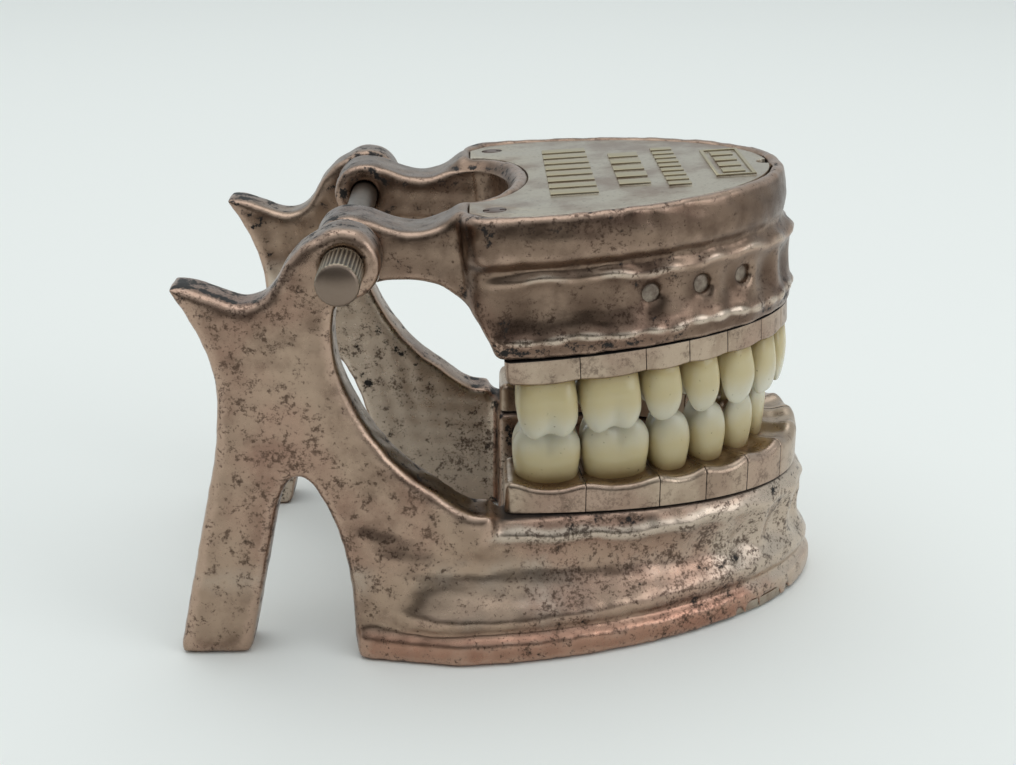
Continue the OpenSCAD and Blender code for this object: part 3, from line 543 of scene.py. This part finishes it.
def gum_segment(row, k, height, outer_r, fall, dip, rear_rise):
    """The rounded loop carried along the arch from joint to joint. The top falls inward by fall,
    dips by dip between the joints, rises by rear_rise at the last corner, and its ends are rounded."""
    length = row.crown_w[k] - 0.14
    first, last = row.edges[k], row.edges[k + 1]
    rear = 1.2 if k == 6 else 0
    end_r = 1.3 if k == 6 else 0.2
    turn = np.linspace(0, np.pi / 2, 6)
    s = np.concatenate([0.2 * (1 - np.cos(turn)), np.linspace(0.4, length + rear - end_r - 0.2, 22),
                        length + rear - end_r * (1 - np.sin(turn))])
    shrink = np.concatenate([0.2 * (1 - np.sin(turn)), np.zeros(22), end_r * (1 - np.cos(turn))])
    t = first + (last - first) * np.clip(s / length, 0, 1)
    behind = np.maximum(s - length, 0)
    place = k + s / length
    tops = height(place) + dip * (np.abs(np.cos(np.pi * place)) ** 3 - 0.4)
    tops = tops + rear_rise * ramp(place, 6.75, 7.1)
    points = []
    for ti, back, small, top in zip(t, behind, shrink, tops):
        loop = rounded_loop(11.7, top, outer_r, 1.2)
        inward = loop[:, 0] + small * np.clip((5.85 - loop[:, 0]) / 1.5, -1, 1)
        up = loop[:, 1] - small * ramp(loop[:, 1], top * 0.5, top)
        up = up - fall * ramp(inward, 0.9, 4.2) * ramp(11.7 - inward, 0.9, 3.0) * (loop[:, 1] / top) ** 2
        plan = row.off(np.full(len(loop), ti), -0.3 - inward)
        points.append(np.stack([plan[:, 0] + row.x - back, plan[:, 1], up], 1))
    rings = len(points)
    joint = (shrink > 0.05) & ((behind == 0) | (k < 6))
    seam = np.maximum(np.repeat(joint, len(loop)), np.tile(loop[:, 1] < 0.12, rings))
    return np.concatenate(points), tube_faces(rings, len(loop)), seam


segment_metal = plated_bronze("bronze_gum_segments", "#b9a591", "#8c7665", "#a48678", 0.35)
TOOTH_NAMES = ["central_incisor", "lateral_incisor", "canine", "first_premolar", "second_premolar",
               "first_molar", "second_molar"]


def lower_gum_top(place):
    """Height over the seam, falling from the incisors to the molars."""
    return 4.2 + 2.6 * np.clip(1 - (place - 0.5) / 6, 0, 1) ** 1.2


for k, tooth_name in enumerate(TOOTH_NAMES):
    points, faces, seam = gum_segment(
        LOWER, k, lower_gum_top, 0.9 + 0.12 * (6 - k), 0.25 + 0.05 * (6 - k), 0.7, 0.7)
    points[:, 2] += LOWER_SEAM
    points, faces = both(points, faces)
    new_piece("segments_lower_" + tooth_name, points, faces, "lower_jaw_body",
              ["lower_gum_" + tooth_name], segment_metal, values={"seam": np.tile(seam, 2)})
    points, faces, seam = gum_segment(UPPER, k, lambda place: 4.0 + 0 * place, 0.55, 0.1, -0.3, 0)
    points[:, 2] = UPPER_SEAM - points[:, 2]
    points, faces = both(levelled(points, -TILT), faces)
    new_piece("segments_upper_" + tooth_name, points, faces, "upper_jaw_body",
              ["upper_gum_" + tooth_name], segment_metal, values={"seam": np.tile(seam, 2)})

# Teeth -------------------------------------------------------------------------------------
# Moulded acrylic in two layers: ivory dentine that shows yellow at the neck, under a bluish,
# slightly see-through enamel that is thickest at the cusps. Each is screwed up from inside.

KINDS = ["incisor", "incisor", "canine", "premolar", "premolar", "molar", "molar"]


def crown(kind, width, depth, height, skirt, taper, sunk=1.0):
    """Closed crown round its root. Going up by an angle, a ring's size and height follow a rounded
    square corner, so that the sides are upright and the top closes over. Rings are squared ovals
    between a cheek profile and a tongue profile; the top is lowered between the cusps."""
    spin = np.linspace(0, 2 * np.pi, 60, endpoint=False)[None, :]
    rise = np.linspace(0, np.pi / 2, 36)[:-1, None]
    corner = {"incisor": 7.0, "canine": 4.2, "premolar": 4.2, "molar": 8.0}[kind]
    close = np.cos(rise) ** (2 / corner)
    up = np.sin(rise) ** (2 / corner)
    full = ramp(up, -0.25, 0.72)
    neck = {"incisor": 0.68, "canine": 0.68, "premolar": 0.70, "molar": 0.86}[kind]
    across = (neck + (1 - neck) * full - 0.05 * ramp(up, 0.75, 1)) * width / 2
    belly = 0.35 * np.sin(np.pi * np.clip(up, 0, 1))
    if kind in ("incisor", "canine"):
        cheek = depth / 2 - 0.55 + belly - 0.55 * up ** 3
        tongue = -depth / 2 * 0.9 + (depth - 2.9) * ramp(up, 0.0, 1.05)
    else:
        cheek = depth / 2 - 0.5 + belly - 0.25 * up ** 4
        tongue = -depth / 2 + 0.5 - belly
    square = {"incisor": 2.6, "canine": 2.6, "premolar": 2.8, "molar": 3.6}[kind]
    oval = (np.abs(np.cos(spin)) ** square + np.abs(np.sin(spin)) ** square) ** (-1 / square)
    a = (cheek + tongue) / 2 + (cheek - tongue) / 2 * oval * np.cos(spin) * close
    b = across * oval * np.sin(spin) * close
    side = np.clip(np.abs(b) / (width / 2), 0, 1)
    cheekward = ramp(a, depth / 2 - 3.0, depth / 2 - 2.0)
    if kind == "incisor":
        fallen = 0.35 * side ** 3
    elif kind == "canine":
        fallen = 1.5 * side ** 1.6
    elif kind == "premolar":
        fallen = 1.1 * side ** 1.8 + 0.8 * bell(a, 0, depth * 0.16)
    else:
        lobe = 0.5 - 0.5 * np.cos(2 * np.pi * side)
        fallen = 0.75 * (1 - lobe) + 0.9 * bell(a, 0, depth * 0.18)
        a = a - 0.32 * bell(b, 0, 0.8) * ramp(up, 0.35, 0.95) * ramp(a, depth * 0.25, depth * 0.42)
        a = a - 0.25 * (1 - lobe) * ramp(up, 0.5, 1) * ramp(a, depth * 0.25, depth * 0.42)
    top = height + skirt * cheekward - fallen
    z = up * (top + sunk) - sunk
    b = b * (1 - taper * (depth / 2 - a) / width)
    points = np.stack([a, b, z + 0 * a], -1).reshape(-1, 3)
    summit = points.reshape(-1, 60, 3)[-1].mean(0)
    rings = len(rise)
    faces = tube_faces(rings, 60)
    ring = faces.pop()
    faces += [[ring[i], ring[(i + 1) % 60], len(points)] for i in range(60)]
    return np.concatenate([points, summit[None]]), faces, np.clip(np.append((up + 0 * spin).ravel(), 1), 0, 1)


def two_layer_acrylic():
    """Ivory acrylic that goes to bluish enamel with level, dull yellow at the neck."""
    material, tree, output = new_material("two_layer_tooth_acrylic")
    place = add(tree, "TexCoord").outputs["Object"]
    level = add(tree, "Attribute", attribute_name="level").outputs["Fac"]
    # Drifts of shade about 3 mm across, and specks of plaque and dirt under 0.4 mm
    drift = add(tree, "TexNoise", {"Vector": place, "Scale": 320, "Detail": 3}).outputs[0]
    speck = add(tree, "TexNoise", {"Vector": place, "Scale": 1500, "Detail": 2, "Roughness": 0.4}).outputs[0]
    level = add(tree, "Math", {0: drift, 1: 0.16, 2: level}, operation="MULTIPLY_ADD").outputs[0]
    enamel = add(tree, "MapRange", {"Value": level, "From Min": 0.55, "From Max": 1.02},
                 interpolation_type="SMOOTHSTEP").outputs[0]
    gum_end = add(tree, "MapRange", {"Value": level, "From Min": 0.42, "From Max": 0.12, "To Max": 0.6},
                  interpolation_type="SMOOTHSTEP").outputs[0]
    colour = add(tree, "Mix", {
        0: enamel, 6: linear("#c9b98f"), 7: linear("#d3cdb9")}, data_type="RGBA").outputs[2]
    colour = add(tree, "Mix", {0: gum_end, 6: colour, 7: linear("#a98f5a")}, data_type="RGBA").outputs[2]
    dirt = add(tree, "MapRange", {
        "Value": speck, "From Min": 0.72, "From Max": 0.78, "To Max": 0.7}).outputs[0]
    colour = add(tree, "Mix", {0: dirt, 6: colour, 7: linear("#6f6448")}, data_type="RGBA").outputs[2]
    bump = add(tree, "Bump", {"Height": drift, "Strength": 0.2, "Distance": 0.0001}).outputs[0]
    acrylic = add(tree, "BsdfPrincipled", {
        "Base Color": colour, "Roughness": 0.24, "IOR": 1.49, "Normal": bump,
        "Subsurface Weight": 0.35, "Subsurface Radius": (1.0, 0.75, 0.45), "Subsurface Scale": 0.0012})
    tree.links.new(acrylic.outputs[0], output.inputs["Surface"])
    return material


acrylic = two_layer_acrylic()
UPPER_SEG_H, UPPER_CROWN_H, OVERBITE, BITE_GAP = 4, 7.7, 1.3, 0.45
# The finished cheek cusps hang a little lower than the plain solids
CUSP_DROP = 0.7

for k, tooth_name in enumerate(TOOTH_NAMES):
    for jaw, row in (("upper", UPPER), ("lower", LOWER)):
        depth, t = row.depths[k], row.mids[k]
        centre = row.at(t, depth / 2)
        normal = arch_normal(t, *row.shape)
        turned = math.degrees(math.acos(min(1, float(np.dot(
            arch_normal(row.edges[k], *row.shape), arch_normal(min(row.edges[k + 1], 89.5), *row.shape))))))
        if jaw == "upper":
            height, skirt = UPPER_CROWN_H, OVERBITE + CUSP_DROP
        else:
            bite = (UPPER_SEAM - UPPER_SEG_H - 7.7 + (centre[0] + row.x - hinge_x) * math.tan(TILT) - 0.35)
            gum = lower_gum_top(k + 0.5) - 0.25 - 0.05 * (6 - k)
            height, skirt = bite - BITE_GAP - LOWER_SEAM - gum, 0
        local, faces, level = crown(
            KINDS[k], row.crown_w[k] - 0.1, depth, height, skirt, math.radians(turned))
        plan = centre + local[:, :1] * normal + local[:, 1:2] * np.array([-normal[1], normal[0]])
        points = np.column_stack([plan[:, 0] + row.x, plan[:, 1], local[:, 2]])
        if jaw == "upper":
            points[:, 2] = UPPER_SEAM - UPPER_SEG_H - points[:, 2]
            points = levelled(points, -TILT)
        else:
            points[:, 2] += LOWER_SEAM + gum
        for side, sign in (("left", 1), ("right", -1)):
            placed = points * [1, sign, 1]
            new_piece(f"crown_{jaw}_{side}_{tooth_name}", placed, facing_out(placed, faces),
                      jaw + "_jaw_body",
                      [f"{jaw}_{side}_{tooth_name}"], acrylic, values={"level": level})

# Cheek plugs -------------------------------------------------------------------------------
# Soft metal plugs, three a side, that close the bores left by casting. They were filed flush
# with the cheek side and have weathered greyer than the bronze round them.


def turned_part(profile, count, ripple=None):
    """A profile of (radius, along) carried round an axis; each end is on the axis, and ripple shares out
    a change of radius round the turn. Returned as (across, across, along)."""
    profile = np.asarray(profile, float)
    spin = np.linspace(0, 2 * np.pi, count, endpoint=False)
    share = 0 * spin[None, :] if ripple is None else ripple(spin)[None, :] * profile[1:-1, 2:3]
    radius = profile[1:-1, :1] + share
    rings = np.stack([radius * np.cos(spin), radius * np.sin(spin), profile[1:-1, 1:2] + 0 * radius], -1)
    points = np.concatenate([rings.reshape(-1, 3), [[0, 0, profile[0, 1]], [0, 0, profile[-1, 1]]]])
    faces = tube_faces(len(rings), count)[:-2]
    start, last = len(points) - 2, (len(rings) - 1) * count
    faces += [[start, (i + 1) % count, i] for i in range(count)]
    faces += [[start + 1, last + i, last + (i + 1) % count] for i in range(count)]
    return points, faces


material, tree, output = new_material("grey_soft_metal_plugs")
place = add(tree, "TexCoord").outputs["Object"]
dull = add(tree, "TexNoise", {"Vector": place, "Scale": 900, "Detail": 5, "Roughness": 0.65}).outputs[0]
shade = add(tree, "MapRange", {"Value": dull, "From Min": 0.35, "From Max": 0.65}).outputs[0]
colour = add(tree, "Mix", {0: shade, 6: linear("#93877a"), 7: linear("#6f6157")}, data_type="RGBA").outputs[2]
bump = add(tree, "Bump", {"Height": dull, "Strength": 0.3, "Distance": 0.00008}).outputs[0]
metal = add(tree, "BsdfPrincipled", {
    "Base Color": colour, "Metallic": 1.0, "Roughness": 0.42, "Normal": bump})
tree.links.new(metal.outputs[0], output.inputs["Surface"])

plug_r, plug_l = 1.7, 2.5
points, faces = [], []
for t in (38, 50, 62):
    foot_at = UPPER.off(t, 0) + [UPPER.x, 0]
    normal = arch_normal(t, *UPPER.shape)
    near = upper_level - [foot_at[0], foot_at[1], UPPER_SEAM + 8.5]
    reach = near[:, :2] @ normal
    beside_axis = np.hypot(near[:, :2] @ np.array([-normal[1], normal[0]]), near[:, 2])
    face = reach[(beside_axis < plug_r + 0.5) & (beside_axis > plug_r - 0.4) & (reach > -2)].mean()
    local, local_faces = turned_part([(0, -plug_l), (plug_r, -plug_l), (plug_r, face - 0.08),
                                      (plug_r - 0.12, face + 0.03), (0.7, face + 0.08), (0, face + 0.1)], 40)
    place_on = np.column_stack([foot_at[0] + local[:, 2] * normal[0] - local[:, 0] * normal[1],
                                foot_at[1] + local[:, 2] * normal[1] + local[:, 0] * normal[0],
                                UPPER_SEAM + 8.5 + local[:, 1]])
    placed, placed_faces = both(levelled(place_on, -TILT), local_faces)
    faces += [[v + sum(map(len, points)) for v in f] for f in placed_faces]
    points.append(placed)
new_piece("cheek_plug_faces", np.concatenate(points), faces, "upper_jaw_body",
          ["cheek_plugs"], material)

# Hinge shaft and thumb nuts ----------------------------------------------------------------
# A ground steel shaft runs loose in the arm eyes. A turned steel nut with a straight knurl
# is screwed on at each end, and its plain end is painted a darker brown as painted shade,
# standing in for the dark reflection in that face.

material, tree, output = new_material("ground_steel_shaft")
place = add(tree, "TexCoord").outputs["Object"]
# Turning marks round the shaft, about 0.3 mm apart along it
marks = add(tree, "TexWave", {
    "Vector": place, "Scale": 530, "Distortion": 1.5, "Detail": 2}, bands_direction="Y").outputs[1]
film = add(tree, "TexNoise", {"Vector": place, "Scale": 350, "Detail": 5}).outputs[0]
colour = add(tree, "Mix", {0: film, 6: linear("#8d8175"), 7: linear("#5d5048")}, data_type="RGBA").outputs[2]
bump = add(tree, "Bump", {"Height": marks, "Strength": 0.2, "Distance": 0.00003}).outputs[0]
metal = add(tree, "BsdfPrincipled", {
    "Base Color": colour, "Metallic": 1.0, "Roughness": 0.34, "Normal": bump})
tree.links.new(metal.outputs[0], output.inputs["Surface"])
shaft_steel = material
nodes["hinge_shaft"].data.materials.clear()
nodes["hinge_shaft"].data.materials.append(shaft_steel)

material, tree, output = new_material("knurled_steel_nut")
place = add(tree, "TexCoord").outputs["Object"]
face_end = add(tree, "Attribute", attribute_name="plain_end").outputs["Fac"]
groove = add(tree, "Attribute", attribute_name="groove").outputs["Fac"]
film = add(tree, "TexNoise", {"Vector": place, "Scale": 500, "Detail": 5, "Roughness": 0.6}).outputs[0]
colour = add(tree, "Mix", {0: film, 6: linear("#b9ad98"), 7: linear("#81735f")}, data_type="RGBA").outputs[2]
colour = add(tree, "Mix", {0: groove, 6: colour, 7: linear("#40362e")}, data_type="RGBA").outputs[2]
# Painted shade: the plain end of the nut is tinted darker brown for the dark reflection in its face
colour = add(tree, "Mix", {0: face_end, 6: colour, 7: linear("#7c6a60")}, data_type="RGBA").outputs[2]
bump = add(tree, "Bump", {"Height": film, "Strength": 0.25, "Distance": 0.00006}).outputs[0]
metal = add(tree, "BsdfPrincipled", {
    "Base Color": colour, "Metallic": 1.0, "Roughness": 0.36, "Normal": bump})
tree.links.new(metal.outputs[0], output.inputs["Surface"])
nut_steel = material

knurls, nut_r, nut_bore_r = 30, 3.2, 2.29
for side, sign, body in (("right", -1, "right_nut_body"), ("left", 1, "left_nut_body")):
    lowest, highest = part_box(side + "_thumb_nut")
    inner, length = min(abs(lowest.y), abs(highest.y)) / MM, (highest.y - lowest.y) / MM
    dome = 0.45 * (1 - (np.linspace(0.2, 2.6, 7) / 2.6) ** 2) + length - 0.45
    profile = [(0, length, 0)] + [(r, d, 0) for r, d in zip(np.linspace(0.2, 2.6, 7), dome)]
    profile += [(nut_r - 0.22, length - 0.62, 0), (nut_r, length - 0.95, 0.2), (nut_r, length - 1.2, 1)]
    profile += [(nut_r, d, 1) for d in np.linspace(length - 1.3, 0.6, 12)]
    profile += [(nut_r, 0.45, 0.3), (nut_r - 0.3, 0, 0), (nut_bore_r, 0, 0)]
    profile += [(nut_bore_r, length - 1.7, 0), (0, length - 1.6, 0)]
    local, faces = turned_part(profile, knurls * 8, lambda a: -0.26 * (0.5 - 0.5 * np.cos(knurls * a)) ** 0.8)
    points = np.column_stack([hinge_x + local[:, 0], sign * (inner + local[:, 2]), hinge_z + local[:, 1]])
    along = np.repeat(np.array(profile)[1:-1, 1], knurls * 8)
    radius = np.hypot(local[:-2, 0], local[:-2, 1])
    outside = (radius > 2.5) & (along < length - 1.0)
    plain = np.append(ramp(nut_r - 0.1 - radius, 0, 0.1) * (along > length - 1.0), [1, 0])
    new_piece(side + "_knurled_nut", points, facing_out(points, faces), body,
              [side + "_thumb_nut"], nut_steel, values={
                  "plain_end": 0.8 * plain,
                  "groove": np.append(outside * ramp(nut_r - radius, 0.05, 0.24), [0, 0])})

# Cover plates and screws -------------------------------------------------------------------
# Flat nickel-silver plates that close the jaws. The top one is etched with plain raised bars
# and let into the rim; slotted steel screws hold both, and all have dulled together.


def softened(name, node, edge, material, raised_over=None):
    """A copy of a CAD node, merged, with its sharp edges rounded."""
    mesh = nodes[node].data.copy()
    work = bmesh.new()
    work.from_mesh(mesh)
    bmesh.ops.remove_doubles(work, verts=work.verts, dist=1e-6)
    bmesh.ops.dissolve_limit(work, angle_limit=math.radians(0.5), verts=work.verts, edges=work.edges)
    work.to_mesh(mesh)
    work.free()
    mesh.name = name
    mesh.materials.clear()
    mesh.materials.append(material)
    mesh.polygons.foreach_set("use_smooth", [True] * len(mesh.polygons))
    if raised_over is not None:
        co = np.empty(len(mesh.vertices) * 3)
        mesh.vertices.foreach_get("co", co)
        high = levelled(co.reshape(-1, 3) / MM, TILT)[:, 2] > raised_over
        mesh.attributes.new("raised", "FLOAT", "POINT").data.foreach_set("value", high.astype(np.float32))
    piece = bpy.data.objects.new(name, mesh)
    scene.collection.objects.link(piece)
    soft = piece.modifiers.new("edges", "BEVEL")
    soft.width, soft.segments, soft.limit_method = edge * MM, 2, "ANGLE"
    soft.angle_limit = math.radians(35)
    soft.harden_normals = True
    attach(piece, "upper_jaw_body" if node.startswith("top") else "lower_jaw_body")
    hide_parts(node)
    return piece


material, tree, output = new_material("etched_nickel_silver_plate")
place = add(tree, "TexCoord").outputs["Object"]
raised = add(tree, "Attribute", attribute_name="raised").outputs["Fac"]
# Etched grain about 0.6 mm, and tea-coloured stains about 12 mm across
grain = add(tree, "TexNoise", {"Vector": place, "Scale": 1500, "Detail": 4, "Roughness": 0.7}).outputs[0]
tea = add(tree, "TexNoise", {"Vector": place, "Scale": 85, "Detail": 5, "Roughness": 0.6}).outputs[0]
stain = add(tree, "MapRange", {"Value": tea, "From Min": 0.42, "From Max": 0.66},
            interpolation_type="SMOOTHSTEP").outputs[0]
colour = add(tree, "Mix", {0: stain, 6: linear("#bdb3a3"), 7: linear("#9c8a7b")}, data_type="RGBA").outputs[2]
pits = add(tree, "MapRange", {"Value": grain, "From Min": 0.56, "From Max": 0.68, "To Max": 0.5}).outputs[0]
colour = add(tree, "Mix", {0: pits, 6: colour, 7: linear("#6f6156")}, data_type="RGBA").outputs[2]
colour = add(tree, "Mix", {0: raised, 6: colour, 7: linear("#b5a88c")}, data_type="RGBA").outputs[2]
bump = add(tree, "Bump", {"Height": grain, "Strength": 0.5, "Distance": 0.00008}).outputs[0]
metal = add(tree, "BsdfPrincipled", {"Base Color": colour, "Metallic": 1.0, "Roughness": 0.4, "Normal": bump})
tree.links.new(metal.outputs[0], output.inputs["Surface"])
etched = material

material, tree, output = new_material("dulled_steel_screws")
place = add(tree, "TexCoord").outputs["Object"]
film = add(tree, "TexNoise", {"Vector": place, "Scale": 700, "Detail": 5, "Roughness": 0.65}).outputs[0]
colour = add(tree, "Mix", {0: film, 6: linear("#8b7468"), 7: linear("#54443c")}, data_type="RGBA").outputs[2]
bump = add(tree, "Bump", {"Height": film, "Strength": 0.3, "Distance": 0.00006}).outputs[0]
metal = add(tree, "BsdfPrincipled", {"Base Color": colour, "Metallic": 1.0, "Roughness": 0.4, "Normal": bump})
tree.links.new(metal.outputs[0], output.inputs["Surface"])
screw_steel = material

softened("etched_top_cover", "top_cover", 0.12, etched, UPPER_SEAM + 22.8 - 0.2)
softened("plain_bottom_cover", "bottom_cover", 0.15, etched)
softened("top_cover_screw_heads", "top_cover_screws", 0.08, screw_steel)
softened("bottom_cover_screw_heads", "bottom_cover_screws", 0.08, screw_steel)
for node in ("upper_tooth_screws", "lower_tooth_screws"):
    nodes[node].data.materials.clear()
    nodes[node].data.materials.append(screw_steel)
